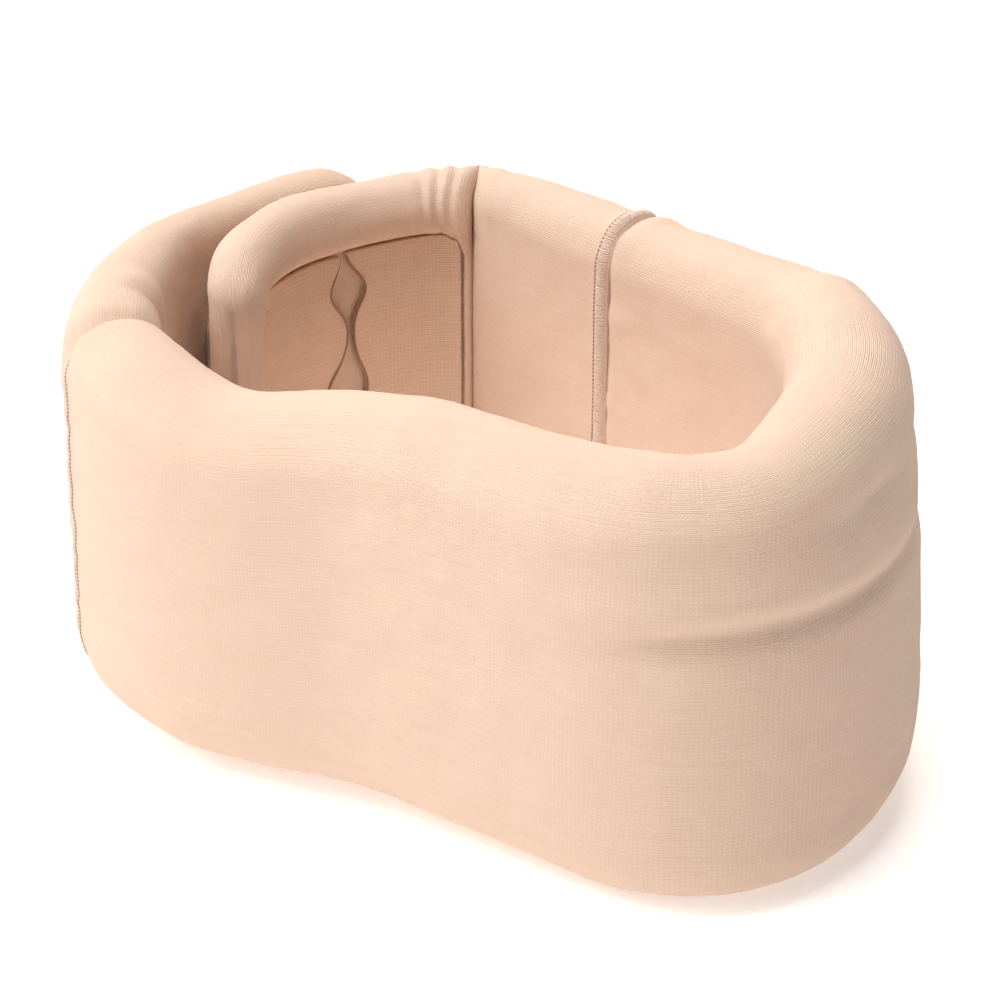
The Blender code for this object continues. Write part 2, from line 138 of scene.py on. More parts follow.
def profile(knots, x):
    """Monotone cubic through (share, value) knots."""
    kx, ky = np.array([k[0] for k in knots], float), np.array([k[1] for k in knots], float)
    h = np.diff(kx)
    d = np.diff(ky) / h
    slope = np.zeros(len(kx))
    for i in range(1, len(kx) - 1):
        if d[i - 1] * d[i] > 0:
            w1, w2 = 2 * h[i] + h[i - 1], h[i] + 2 * h[i - 1]
            slope[i] = (w1 + w2) / (w1 / d[i - 1] + w2 / d[i])
    x = np.clip(np.asarray(x, float), kx[0], kx[-1])
    k = np.clip(np.searchsorted(kx, x, side="right") - 1, 0, len(kx) - 2)
    u = (x - kx[k]) / h[k]
    return (
        ky[k] * (1 + 2 * u) * (1 - u) ** 2
        + slope[k] * h[k] * u * (1 - u) ** 2
        + ky[k + 1] * u**2 * (3 - 2 * u)
        + slope[k + 1] * h[k] * u**2 * (u - 1)
    )


def smooth(x):
    x = np.clip(x, 0.0, 1.0)
    return x * x * (3 - 2 * x)


def bell(x, width):
    return np.exp(-((x / width) ** 2))


def wave_noise(x, y, scale, seed, octaves=2):
    """Smooth repeatable noise between about -1 and 1, as a sum of turned plane waves."""
    rng = np.random.default_rng(seed)
    total, weight = np.zeros(np.broadcast(x, y).shape), 0.0
    for octave in range(octaves):
        gain, pitch = 0.5**octave, scale * 0.55**octave
        for _ in range(7):
            angle, phase = rng.uniform(0, 2 * math.pi, 2)
            freq = 2 * math.pi / (pitch * rng.uniform(0.75, 1.35))
            total += gain * np.sin(freq * (x * math.cos(angle) + y * math.sin(angle)) + phase)
        weight += gain * 7**0.5
    return total / weight


class Strip:
    """One run of the collar: plan curve, outward side, and its profiles."""

    def __init__(self, plan, side, half, top, low, lean=FLAT, free_end=False, tuck=FLAT):
        self.s, self.q = spline(plan)
        self.length = float(self.s[-1])
        self.side, self.half, self.top, self.low, self.lean = side, half, top, low, lean
        self.free_end = free_end
        self.tuck = tuck
        step = np.diff(self.q, axis=0)
        heading = np.unwrap(np.arctan2(step[:, 1], step[:, 0]))
        self.mid = (self.s[1:] + self.s[:-1]) / 2
        self.heading = heading
        self.turn = (0.0, 0.0)

    def place(self, s):
        """Plan position and outward normal at lengths s. Each end's section is turned into the plane of its seam."""
        s = np.asarray(s, float)
        x, y = (np.interp(s, self.s, self.q[:, i]) for i in (0, 1))
        # past either end the run goes on straight
        over = np.where(s < 0, s, np.where(s > self.length, s - self.length, 0.0))
        angle = np.interp(s, self.mid, self.heading)
        x, y = x + over * np.cos(angle), y + over * np.sin(angle)
        angle = angle + self.turn[0] * (1 - smooth(s / 0.02)) + self.turn[1] * (1 - smooth((self.length - s) / 0.02))
        return x, y, self.side * np.sin(angle), -self.side * np.cos(angle)

    def sizes(self, s):
        u = np.asarray(s, float) / self.length
        half, top, low, lean = (profile(k, u) for k in (self.half, self.top, self.low, self.lean))
        if self.free_end:
            left = np.clip(self.length - s, 0.0, None)
            near = np.clip(1 - left / END_CORNER, 0.0, 1.0)
            drop = END_CORNER * (1 - np.sqrt(1 - near**2))
            top, low = top - 0.8 * drop, low + 0.8 * drop
            thin = np.clip(1 - left / half, 0.0, 1.0)
            half = half * np.sqrt(np.clip(1 - thin**2, 1e-4, 1.0))
        return half, top, low, lean

    def at(self, s, n, z):
        """World points at length s, n outward from the middle line, height z."""
        x, y, nx, ny = self.place(s)
        lean = self.sizes(s)[3] * (z - 0.04) / 0.04
        return np.stack([x + (n + lean) * nx, y + (n + lean) * ny, z * np.ones_like(x)], -1)


def heading(strip, at_end):
    return strip.heading[-1] if at_end else strip.heading[0]


def wrap(a):
    return (a + math.pi) % (2 * math.pi) - math.pi


front = Strip(FRONT_PLAN, 1, FRONT_HALF, FRONT_TOP, FRONT_LOW, FRONT_LEAN, tuck=FRONT_TUCK)
outer = Strip(OUTER_FLAP_PLAN, -1, OUTER_HALF, OUTER_TOP, OUTER_LOW, free_end=True)
side = Strip(SIDE_FLAP_PLAN, 1, SIDE_HALF, SIDE_TOP, SIDE_LOW)
end = Strip(END_FLAP_PLAN, 1, END_HALF, END_TOP, END_LOW, free_end=True)
left_turn = wrap(heading(outer, False) - (heading(front, False) + math.pi)) / 2
front.turn = (left_turn, wrap(heading(side, False) - heading(front, True)) / 2)
outer.turn = (-left_turn, 0.0)
fold = wrap(heading(end, False) - heading(side, True))
side.turn = (-front.turn[1], fold / 2)
end.turn = (-fold / 2, 0.0)

ROUND = 2.15  # how full the rounded edges are
PERIMETER = 0.212  # of the knitted tube, which stretches to its foam


def section(half, top, low, deep, inset=0.0):
    """Dense closed outline of one cross-section: underside, outer wall, upper edge, inner wall, back to the underside."""
    half, top, low = max(half - inset, 2e-4), top - inset, low + inset
    flat = min(UNDERSIDE_FLAT * deep, 0.7 * half)
    up, down = top - half, low + half
    a = np.linspace(0, math.pi / 2, 40)
    power = 2 / ROUND
    bottom = np.stack([flat + (half - flat) * np.sin(a) ** power, down - half * np.cos(a) ** power], -1)
    wall = np.stack([np.full(60, half), np.linspace(down, up, 60)], -1)
    crown = np.stack([half * np.cos(a) ** power, up + half * np.sin(a) ** power], -1)
    right = np.concatenate([[[0.0, low]], bottom, wall[1:], crown[1:]])
    left = right[::-1][1:] * np.array([-1.0, 1.0])
    return np.concatenate([right, left])


def outline(strip, s, count, inset=0.0):
    """(rings, count, 2) points (n, z) evenly spaced round each cross-section, and their unit normals in that plane."""
    half, top, low, _ = strip.sizes(s)
    share = np.arange(count) / count
    rings = []
    for h, t, l in zip(half, top, low):
        p = section(h, t, l, h, inset)
        d = np.concatenate([[0.0], np.cumsum(np.hypot(*np.diff(p, axis=0).T))])
        rings.append(np.stack([np.interp(share * d[-1], d, p[:, i]) for i in (0, 1)], -1))
    p = np.array(rings)
    drawn = profile(strip.tuck, np.asarray(s, float) / strip.length)[:, None]
    p[..., 0] -= drawn * np.clip(1 - p[..., 1] / TUCK_HEIGHT, 0.0, 1.0) ** 2 * smooth((p[..., 0] + 0.004) / 0.008)
    t = np.roll(p, -1, 1) - np.roll(p, 1, 1)
    normal = np.stack([t[..., 1], -t[..., 0]], -1)
    return p, normal / np.maximum(np.linalg.norm(normal, axis=-1, keepdims=True), 1e-9)


def stations(strip, first, last, pitch):
    """Lengths of the cross-sections, closer together round a free end."""
    if not strip.free_end:
        return np.linspace(first, last, max(2, round((last - first) / pitch)) + 1)
    tail = 0.9 * END_CORNER
    body = np.linspace(first, last - tail, max(2, round((last - tail - first) / pitch)) + 1)
    a = np.linspace(0, math.pi / 2, max(6, round(1.9 * tail / pitch)) + 1)[1:]
    return np.concatenate([body, last - tail * (1 - np.sin(a)) - 0])


# ---- meshes ----
def new_mesh(name, points, faces, uv=None):
    mesh = bpy.data.meshes.new(name)
    mesh.from_pydata([tuple(p) for p in points], [], [tuple(int(i) for i in f) for f in faces])
    if uv is not None:
        layer = mesh.uv_layers.new(name="strip")
        layer.data.foreach_set("uv", np.asarray(uv, np.float32).ravel())
    mesh.validate()
    mesh.update()
    mesh.shade_smooth()
    obj = bpy.data.objects.new(name, mesh)
    scene.collection.objects.link(obj)
    return obj


def tube_faces(rings, count, close_first=True, close_last=True):
    """Quads of a closed tube of rings, and quads across each closed end."""
    i, j = np.meshgrid(np.arange(rings - 1), np.arange(count), indexing="ij")
    k = (j + 1) % count
    wall = np.stack([i * count + j, i * count + k, (i + 1) * count + k, (i + 1) * count + j], -1).reshape(-1, 4)
    faces = [tuple(f) for f in wall]
    for base, flip, wanted in ((0, True, close_first), ((rings - 1) * count, False, close_last)):
        if not wanted:
            continue
        for a in range(count // 2 - 1 + 1):
            quad = [a, (a + 1) % count, (count - a - 1) % count, (count - a) % count]
            quad = list(dict.fromkeys(quad))
            if len(quad) < 3:
                continue
            quad = [base + q for q in quad]
            faces.append(tuple(reversed(quad)) if flip else tuple(quad))
    return faces


def tube_uv(faces, rings, count, s, shift):
    """u along the strip and v round the tube, in metres, for each corner of each face."""
    out = []
    for f in faces:
        js = [q % count for q in f]
        over = max(js) - min(js) > count // 2
        for q in f:
            i, j = divmod(q, count)
            if over and j < count // 2:
                j += count
            out.append((s[i] + shift, j / count * PERIMETER))
    return out


def set_faces_outward(obj):
    """Turns the whole closed mesh inside out if its volume is negative."""
    mesh = obj.data
    co = np.empty(len(mesh.vertices) * 3)
    mesh.vertices.foreach_get("co", co)
    co = co.reshape(-1, 3)
    mesh.calc_loop_triangles()
    tri = np.empty(len(mesh.loop_triangles) * 3, np.int32)
    mesh.loop_triangles.foreach_get("vertices", tri)
    tri = tri.reshape(-1, 3)
    if np.linalg.det(co[tri] - co.mean(0)).sum() < 0:
        mesh.flip_normals()


# ---- how each run's surface departs from its plain section ----
def relief_front(S, P, N):
    """Bulges, the soft fold across the chin, and the pinch at each seam, as a distance along the surface's normal."""
    n, z = P[..., 0], P[..., 1]
    outside = smooth(n / 0.006)
    top = smooth((N[..., 1] - 0.2) / 0.7)
    d = 0.00026 * wave_noise(S, z + 0.6 * n, 0.034, 11) + 0.00010 * wave_noise(S, z + n, 0.012, 12)
    # soft fold that runs from under the chin round the right front: a ledge above it, fuller foam below it
    fade = 0.30 + 0.70 * smooth((0.192 - S) / 0.030)
    reach = smooth((S - 0.100) / 0.036) * smooth((0.262 - S) / 0.04) * fade
    level = 0.0555 + 0.0055 * smooth((S - 0.108) / 0.034)
    d += outside * reach * (
        -0.0011 * bell(z - level + 0.0012, 0.0030) + 0.0007 * bell(z - level - 0.0052, 0.0042)
        + 0.0006 * bell(z - level + 0.0130, 0.0090)
    )
    # the foam is pressed in a little just under the rounded top on the right front
    press = smooth((S - 0.128) / 0.030) * smooth((0.25 - S) / 0.04) * fade
    d -= outside * press * 0.0011 * bell(z - 0.0765 - 0.0012 * np.sin(S * 40.0), 0.0042)
    # a small swelling where the lower edge turns up towards the left seam
    d += 0.0007 * bell(S - 0.031, 0.006) * bell(z - 0.006, 0.009)
    # the covers dip into each seam
    for at in (0.0, front.length):
        d -= 0.0006 * bell(S - at, 0.0011)
        d -= 0.0004 * bell(S - at, 0.006) * (1 - top)
    # the left seam's allowance is a low welt, and the right one's stands up over the top edge
    d += 0.00030 * bell(S - 0.0018, 0.0016)
    d += 0.0006 * top * bell(S - (front.length - 0.0030), 0.0028)
    # gathers that run out from the seams
    gather = np.sin(z * 2 * math.pi / 0.0072 + 3.0 * wave_noise(S, z, 0.02, 15))
    d += 0.00012 * gather * (bell(S, 0.010) + bell(S - front.length, 0.010))
    return d


def relief_outer(S, P, N):
    n, z = P[..., 0], P[..., 1]
    d = 0.0002 * wave_noise(S, z + 0.6 * n, 0.03, 21) + 0.00010 * wave_noise(S, z + n, 0.011, 22)
    d -= 0.0006 * bell(S, 0.0011)
    inner = smooth(-n / 0.005)
    # the sleeve creases where the flap turns away inside the seam
    upper = smooth((z - 0.030) / 0.030)
    d -= 0.0011 * inner * upper * bell(S - 0.0150 - 0.10 * (0.085 - z), 0.0022)
    d += 0.0006 * inner * upper * bell(S - 0.0195 - 0.10 * (0.085 - z), 0.0028)
    d -= 0.0005 * inner * upper * bell(S - 0.0245, 0.0020)
    d += 0.00012 * np.sin(z * 2 * math.pi / 0.0075 + 3.0 * wave_noise(S, z, 0.02, 25)) * bell(S, 0.009)
    return d


def relief_side(S, P, N):
    n, z = P[..., 0], P[..., 1]
    d = 0.0002 * wave_noise(S, z + 0.6 * n, 0.03, 31) + 0.00009 * wave_noise(S, z + n, 0.011, 32)
    d -= 0.0006 * bell(S, 0.0009)
    d += bell(S - 0.0018, 0.0017) * (0.00008 + 0.0007 * smooth((N[..., 1] - 0.5) / 0.5))
    to_fold = side.length - S
    inner = smooth((-n + 0.004) / 0.008)
    d -= 0.0040 * inner * (1 - np.sqrt(1 - (1 - np.clip(to_fold / 0.0062, 0.0, 1.0)) ** 2))
    # creases that fan out of the fold over the upper edge
    top = smooth((z - 0.066) / 0.012)
    d += 0.00022 * top * np.sin(to_fold * 2 * math.pi / 0.0046 + 1.2) * bell(to_fold - 0.005, 0.004)
    return d


def box_distance(x, y, cx, cy, hx, hy, r):
    """Signed distance to a rounded rectangle."""
    qx, qy = np.abs(x - cx) - hx + r, np.abs(y - cy) - hy + r
    return np.minimum(np.maximum(qx, qy), 0.0) + np.hypot(np.maximum(qx, 0), np.maximum(qy, 0)) - r


RECESS_FIRST, RECESS_LAST = 0.0022, end.length - RIM_END
RECESS_LOW, RECESS_HIGH = RIM_HEIGHT, 0.0845 - RIM_HEIGHT


def recess_distance(S, z):
    return box_distance(
        S, z, (RECESS_FIRST + RECESS_LAST) / 2, (RECESS_LOW + RECESS_HIGH) / 2,
        (RECESS_LAST - RECESS_FIRST) / 2, (RECESS_HIGH - RECESS_LOW) / 2, 0.0065,
    )


def recess_depth(S, z):
    """The rim rolls over into the recess as a quarter round, then the floor is level."""
    roll = 0.0058
    d = np.clip(recess_distance(S, z), 0.0, roll)
    return RECESS_DEPTH * (1 - np.sqrt(np.clip(1 - (1 - d / roll) ** 2, 0.0, 1.0)))


def relief_end(S, P, N):
    n, z = P[..., 0], P[..., 1]
    d = 0.0002 * wave_noise(S, z + 0.6 * n, 0.03, 41) + 0.00009 * wave_noise(S, z + n, 0.011, 42)
    inner = smooth((-n + 0.004) / 0.008)
    half = end.sizes(S)[0]
    wall = smooth((-n / np.maximum(half, 1e-4) - 0.55) / 0.35)
    d -= wall * recess_depth(S, z)
    # the padded rim swells a little above the recess
    d += 0.0008 * inner * bell(recess_distance(S, z) - 0.0062, 0.0045)
    d -= 0.0030 * inner * (1 - np.sqrt(1 - (1 - np.clip(S / 0.0040, 0.0, 1.0)) ** 2))
    top = smooth((z - 0.066) / 0.012)
    # creases that fan out of the fold over the padded rim
    fan = S - 0.055 * (z - 0.072) - 0.0008 * np.sin(z * 260.0)
    d -= 0.00055 * top * (bell(fan - 0.0036, 0.0009) + 0.8 * bell(fan - 0.0074, 0.0011) + 0.6 * bell(fan - 0.0118, 0.0012))
    d += 0.00035 * top * (bell(fan - 0.0055, 0.0012) + 0.7 * bell(fan - 0.0096, 0.0013))
    return d


RUNS = {
    "front": (front, relief_front, 0.0, 0.10),
    "outer": (outer, relief_outer, 0.0, 0.45),
    "side": (side, relief_side, 0.0, 0.10 + front.length),
    "end": (end, relief_end, 0.0, 0.10 + front.length + side.length),
}


def cover(name, run, first, last, pitch, count, material):
    strip, relief, _, shift = RUNS[run]
    s = stations(strip, first, last, pitch)
    P, N = outline(strip, s, count)
    S = np.repeat(s[:, None], count, 1)
    D = relief(S, P, N)
    P = P + N * D[..., None]
    # nothing reaches below what the collar stands on
    P[..., 1] = np.maximum(P[..., 1], 0.0)
    points = strip.at(S, P[..., 0], P[..., 1]).reshape(-1, 3)
    faces = tube_faces(len(s), count)
    obj = new_mesh(name, points, faces, tube_uv(faces, len(s), count, s, shift))
    set_faces_outward(obj)
    obj.data.materials.append(material)
    return obj


def core(name, run, first, last, inset, material):
    strip, relief, _, shift = RUNS[run]
    count = 64
    s = stations(strip, first, last, 0.0035)
    P, N = outline(strip, s, count)
    S = np.repeat(s[:, None], count, 1)
    P = P + N * (relief(S, P, N) - inset)[..., None]
    points = strip.at(S, P[..., 0], P[..., 1]).reshape(-1, 3)
    faces = tube_faces(len(s), count)
    obj = new_mesh(name, points, faces, tube_uv(faces, len(s), count, s, shift))
    set_faces_outward(obj)
    obj.data.materials.append(material)
    return obj


# ---- materials ----
class Nodes:
    """Small helper that adds shader nodes and links them."""

    def __init__(self, name):
        self.material = bpy.data.materials.new(name)
        self.material.use_nodes = True
        self.tree = self.material.node_tree
        self.shader = self.tree.nodes["Principled BSDF"]

    def add(self, kind, **settings):
        node = self.tree.nodes.new(kind)
        for key, value in settings.items():
            setattr(node, key, value)
        return node

    def feed(self, socket, value):
        if isinstance(value, bpy.types.NodeSocket):
            self.tree.links.new(value, socket)
        else:
            socket.default_value = value

    def math(self, operation, a, b=None, c=None):
        node = self.add("ShaderNodeMath", operation=operation)
        for socket, value in zip(node.inputs, (a, b, c)):
            if value is not None:
                self.feed(socket, value)
        return node.outputs[0]

    def mix(self, factor, a, b, blend="MIX"):
        node = self.add("ShaderNodeMix", data_type="RGBA", blend_type=blend)
        self.feed(node.inputs[0], factor)
        self.feed(node.inputs[6], a if isinstance(a, bpy.types.NodeSocket) else (*a, 1.0))
        self.feed(node.inputs[7], b if isinstance(b, bpy.types.NodeSocket) else (*b, 1.0))
        return node.outputs[2]

    def noise(self, vector, scale, detail=2.0, roughness=0.5, dimensions="3D"):
        node = self.add("ShaderNodeTexNoise", noise_dimensions=dimensions)
        self.feed(node.inputs["Vector"], vector)
        node.inputs["Scale"].default_value = scale
        node.inputs["Detail"].default_value = detail
        node.inputs["Roughness"].default_value = roughness
        return node.outputs["Fac"]

    def spread(self, value, low, high, to_low=0.0, to_high=1.0):
        node = self.add("ShaderNodeMapRange")
        self.feed(node.inputs["Value"], value)
        for key, number in zip(("From Min", "From Max", "To Min", "To Max"), (low, high, to_low, to_high)):
            node.inputs[key].default_value = number
        return node.outputs["Result"]

    def bump(self, height, strength, distance, normal=None):
        node = self.add("ShaderNodeBump")
        node.inputs["Strength"].default_value = strength
        node.inputs["Distance"].default_value = distance
        self.feed(node.inputs["Height"], height)
        if normal is not None:
            self.feed(node.inputs["Normal"], normal)
        return node.outputs["Normal"]

    def object_place(self):
        return self.add("ShaderNodeTexCoord").outputs["Object"]


def knit_material(name, base, groove_shade_and_dark_yarn, bump=0.55, wale=KNIT_WALE, course=KNIT_COURSE, turned=False):
    """Jersey knit: columns of V stitches that run along the strip, with uneven yarn, soft mottling, a nap, and painted
    shade in the grooves between stitches.
    """
    k = Nodes(name)
    place = k.object_place()
    uv = k.add("ShaderNodeUVMap", uv_map="strip").outputs[0]
    split = k.add("ShaderNodeSeparateXYZ")
    k.feed(split.inputs[0], uv)
    along, across = (split.outputs[1], split.outputs[0]) if turned else (split.outputs[0], split.outputs[1])
    # the stitches wander a little
    drift = k.noise(place, 90.0, 2.0)
    drift2 = k.noise(place, 55.0, 1.0)
    u = k.math("MULTIPLY_ADD", along, 1 / course, k.math("MULTIPLY", drift, 1.6))
    v = k.math("MULTIPLY_ADD", across, 1 / wale, k.math("MULTIPLY", drift2, 0.7))
    cell = k.math("FRACT", v)
    ridge = k.math("SUBTRACT", 1.0, k.math("ABSOLUTE", k.math("MULTIPLY_ADD", cell, 2.0, -1.0)))
    legs = k.math("ABSOLUTE", k.math("SINE", k.math("MULTIPLY", v, 2 * math.pi)))
    slant = k.math("MULTIPLY_ADD", ridge, 0.62, u)
    loop = k.math("ABSOLUTE", k.math("SINE", k.math("MULTIPLY", slant, math.pi)))
    loop = k.math("MULTIPLY_ADD", k.math("POWER", loop, 0.7), 0.55, 0.45)
    leg = k.math("MULTIPLY", k.math("POWER", legs, 0.6), k.math("MULTIPLY_ADD", k.math("POWER", ridge, 0.6), 0.45, 0.55))
    height = k.math("MULTIPLY", leg, loop)
    # yarn that is thicker in some rows than in others
    row = k.add("ShaderNodeCombineXYZ")
    k.feed(row.inputs[0], k.math("MULTIPLY", along, 45.0))
    k.feed(row.inputs[1], k.math("MULTIPLY", across, 1 / wale * 0.9))
    yarn = k.noise(row.outputs[0], 1.0, 1.0)
    fibre = k.noise(place, 5200.0, 2.0, 0.7)
    patch = k.noise(place, 34.0, 3.0, 0.55)
    blotch = k.noise(place, 140.0, 3.0, 0.6)
    worked = k.math("MULTIPLY_ADD", k.math("SUBTRACT", fibre, 0.5), 0.35, height)
    # painted shade: low parts of the stitch relief take the darker second colour, standing in for the shade in the
    # grooves between stitches
    colour = k.mix(k.spread(worked, 0.05, 0.85), groove_shade_and_dark_yarn, base)
    colour = k.mix(k.spread(patch, 0.35, 0.72, 0.0, 0.45), colour, tuple(c * f for c, f in zip(base, (0.97, 0.90, 0.86))))
    colour = k.mix(k.spread(blotch, 0.30, 0.75, 0.0, 0.20), colour, tuple(min(1.0, c * f) for c, f in zip(base, (1.02, 1.03, 1.05))))
    colour = k.mix(k.spread(yarn, 0.25, 0.75, 0.0, 0.25), colour, groove_shade_and_dark_yarn)
    k.feed(k.shader.inputs["Base Color"], colour)
    k.feed(k.shader.inputs["Roughness"], k.spread(worked, 0.0, 1.0, 0.98, 0.86))
    k.shader.inputs["Specular IOR Level"].default_value = 0.18
    k.shader.inputs["Sheen Weight"].default_value = 0.22
    k.shader.inputs["Sheen Roughness"].default_value = 0.45
    k.shader.inputs["Sheen Tint"].default_value = (0.96, 0.90, 0.88, 1.0)
    k.feed(k.shader.inputs["Normal"], k.bump(worked, bump, 0.00028, k.bump(blotch, 0.25, 0.0006)))
    return k.material


def foam_material(name, base):
    """Open-cell polyurethane foam: fine pores."""
    k = Nodes(name)
    place = k.object_place()
    pores = k.add("ShaderNodeTexVoronoi")
    k.feed(pores.inputs["Vector"], place)
    pores.inputs["Scale"].default_value = 1500.0
    cell = k.spread(pores.outputs["Distance"], 0.0, 0.7)
    patch = k.noise(place, 60.0, 3.0)
    colour = k.mix(cell, base, tuple(c * 0.72 for c in base))
    k.feed(k.shader.inputs["Base Color"], k.mix(k.spread(patch, 0.3, 0.7, 0.0, 0.25), colour, tuple(c * 0.9 for c in base)))
    k.feed(k.shader.inputs["Roughness"], k.spread(cell, 0.0, 1.0, 0.85, 0.98))
    k.feed(k.shader.inputs["Normal"], k.bump(cell, 0.6, 0.0004))
    return k.material


def thread_material(name, base):
    """Twisted sewing thread."""
    k = Nodes(name)
    place = k.object_place()
    twist = k.noise(place, 3800.0, 2.0, 0.6)
    shade = k.noise(place, 220.0, 2.0)
    colour = k.mix(k.spread(twist, 0.3, 0.7), tuple(c * 0.74 for c in base), base)
    k.feed(k.shader.inputs["Base Color"], k.mix(k.spread(shade, 0.35, 0.7, 0.0, 0.35), colour, tuple(c * 0.88 for c in base)))
    k.feed(k.shader.inputs["Roughness"], k.spread(twist, 0.3, 0.7, 0.8, 0.6))
    k.shader.inputs["Sheen Weight"].default_value = 0.2
    k.feed(k.shader.inputs["Normal"], k.bump(twist, 0.5, 0.0001))
    return k.material


def tape_material(name, base, scale, rough):
    """Woven tape ground with its pile."""
    k = Nodes(name)
    place = k.object_place()
    pile = k.noise(place, scale, 3.0, 0.65)
    shade = k.noise(place, 120.0, 2.0)
    colour = k.mix(k.spread(pile, 0.3, 0.7), tuple(c * 0.7 for c in base), base)
    k.feed(k.shader.inputs["Base Color"], k.mix(k.spread(shade, 0.35, 0.7, 0.0, 0.3), colour, tuple(c * 0.86 for c in base)))
    k.feed(k.shader.inputs["Roughness"], k.spread(pile, 0.3, 0.7, rough, rough - 0.15))
    k.feed(k.shader.inputs["Normal"], k.bump(pile, 0.7, 0.0003))
    return k.material


# the second colour is painted shade for the knit's grooves, and also the real tone of its thicker yarn rows
KNIT_BASE, KNIT_GROOVE_SHADE_AND_DARK_YARN = (0.945, 0.735, 0.59), (0.80, 0.525, 0.37)
knit = knit_material("jersey_knit", KNIT_BASE, KNIT_GROOVE_SHADE_AND_DARK_YARN, bump=0.75)
foam = foam_material("polyurethane_foam", (0.86, 0.82, 0.68))
thread = thread_material("overlock_thread", (0.86, 0.665, 0.55))
# dark brown: the seams' needle stitches, and also the painted shadow lines along the slot's edges
dark_thread_and_shadow_line = thread_material("seam_thread_and_slot_shadow", (0.42, 0.22, 0.15))

# ---- covers and foam ----
PITCH = 0.0011


def rounds(perimeter):
    return 2 * round(perimeter / PITCH / 2)


front_cover = cover("front_jersey_cover", "front", 0.0, front.length, PITCH, rounds(0.215), knit)
outer_cover = cover("outer_flap_jersey_cover", "outer", 0.0, outer.length, PITCH, rounds(0.190), knit)
side_cover = cover("inner_flap_side_jersey_cover", "side", 0.0, side.length, PITCH, rounds(0.195), knit)
end_cover = cover("inner_flap_end_jersey_cover", "end", 0.0, end.length, PITCH * 0.75, rounds(0.190 / 0.75), knit)
front_core = core("front_foam_pad", "front", 0.0005, front.length - 0.0005, 0.0020, foam)
outer_core = core("outer_flap_foam_pad", "outer", 0.0005, outer.length - 0.003, 0.0020, foam)
side_core = core("inner_flap_side_foam_pad", "side", 0.0005, side.length - 0.0005, 0.0020, foam)
end_core = core("inner_flap_end_foam_pad", "end", 0.0005, end.length - 0.003, 0.0020, foam)


# ---- where the flaps bend ----
def plan_point(strip, s, z=0.042):
    x, y, _, _ = strip.place(s)
    return (float(x), float(y), z)


BENDS = {
    "outer": ("front", "outer_flap", plan_point(outer, 0.0), plan_point(outer, 0.030)),
    "side": ("front", "inner_flap_side", plan_point(side, 0.0), plan_point(side, 0.032)),
    "end": ("inner_flap_side", "inner_flap_end", plan_point(end, 0.0), plan_point(end, 0.025)),
}
for piece, node in ((front_cover, "front_knit_cover"), (front_core, "front_foam_core")):
    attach(piece, "front")
    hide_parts(node)
for piece, node, bend in (
    (outer_cover, "outer_flap_cover", "outer"), (outer_core, "outer_flap_foam", "outer"),
    (side_cover, "inner_flap_side_cover", "side"), (side_core, "inner_flap_side_foam", "side"),
    (end_cover, "inner_flap_end_cover", "end"), (end_core, "inner_flap_end_foam", "end"),
):
    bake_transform(piece)
    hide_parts(node)


# ---- overlocked seams ----
def surface(run, s, share, lift, count=720):
    """Points on a cover at lengths s and shares of the way round it, raised by lift."""
    strip, relief, _, _ = RUNS[run]
    s, share, lift = np.broadcast_arrays(np.asarray(s, float), np.asarray(share, float), np.asarray(lift, float))
    points = []
    for a, b, c in zip(s.ravel(), share.ravel(), lift.ravel()):
        P, N = ring_of(run, round(float(a), 6), count)
        x = (b % 1.0) * count
        i = int(x) % count
        w = x - int(x)
        p = P[i] * (1 - w) + P[(i + 1) % count] * w
        m = N[i] * (1 - w) + N[(i + 1) % count] * w
        points.append((a, *(p + m * c)))
    points = np.array(points)
    return strip.at(points[:, 0], points[:, 1], points[:, 2]).reshape(*s.shape, 3)


RING_CACHE = {}


def ring_of(run, s, count):
    if (run, s, count) not in RING_CACHE:
        strip, relief, _, _ = RUNS[run]
        P, N = outline(strip, np.array([s]), count)
        D = relief(np.full(P.shape[:2], s), P, N)
        RING_CACHE[(run, s, count)] = ((P + N * D[..., None])[0], N[0])
    return RING_CACHE[(run, s, count)]


def threads(name, paths, radius, material, sides=6):
    """Tubes along many short paths of equal length, as one object of closed bodies."""
    verts, faces, base = [], [], 0
    for path in paths:
        path = np.asarray(path, float)
        tangent = np.gradient(path, axis=0)
        tangent /= np.linalg.norm(tangent, axis=1, keepdims=True)
        ref = np.array([0.0, 0.0, 1.0]) if abs(tangent[0][2]) < 0.8 else np.array([1.0, 0.0, 0.0])
        a = np.cross(tangent, ref)
        a /= np.linalg.norm(a, axis=1, keepdims=True)
        b = np.cross(tangent, a)
        n = len(path)
        angle = np.arange(sides) * 2 * math.pi / sides
        taper = np.ones(n)
        taper[0] = taper[-1] = 0.55
        ring = path[:, None] + radius * taper[:, None, None] * (np.cos(angle)[None, :, None] * a[:, None] + np.sin(angle)[None, :, None] * b[:, None])
        verts.append(ring.reshape(-1, 3))
        for i in range(n - 1):
            for j in range(sides):
                q = (j + 1) % sides
                faces.append((base + i * sides + j, base + i * sides + q, base + (i + 1) * sides + q, base + (i + 1) * sides + j))
        faces.append(tuple(base + j for j in reversed(range(sides))))
        faces.append(tuple(base + (n - 1) * sides + j for j in range(sides)))
        base += n * sides
    obj = new_mesh(name, np.concatenate(verts), faces)
    set_faces_outward(obj)
    obj.data.materials.append(material)
    return obj


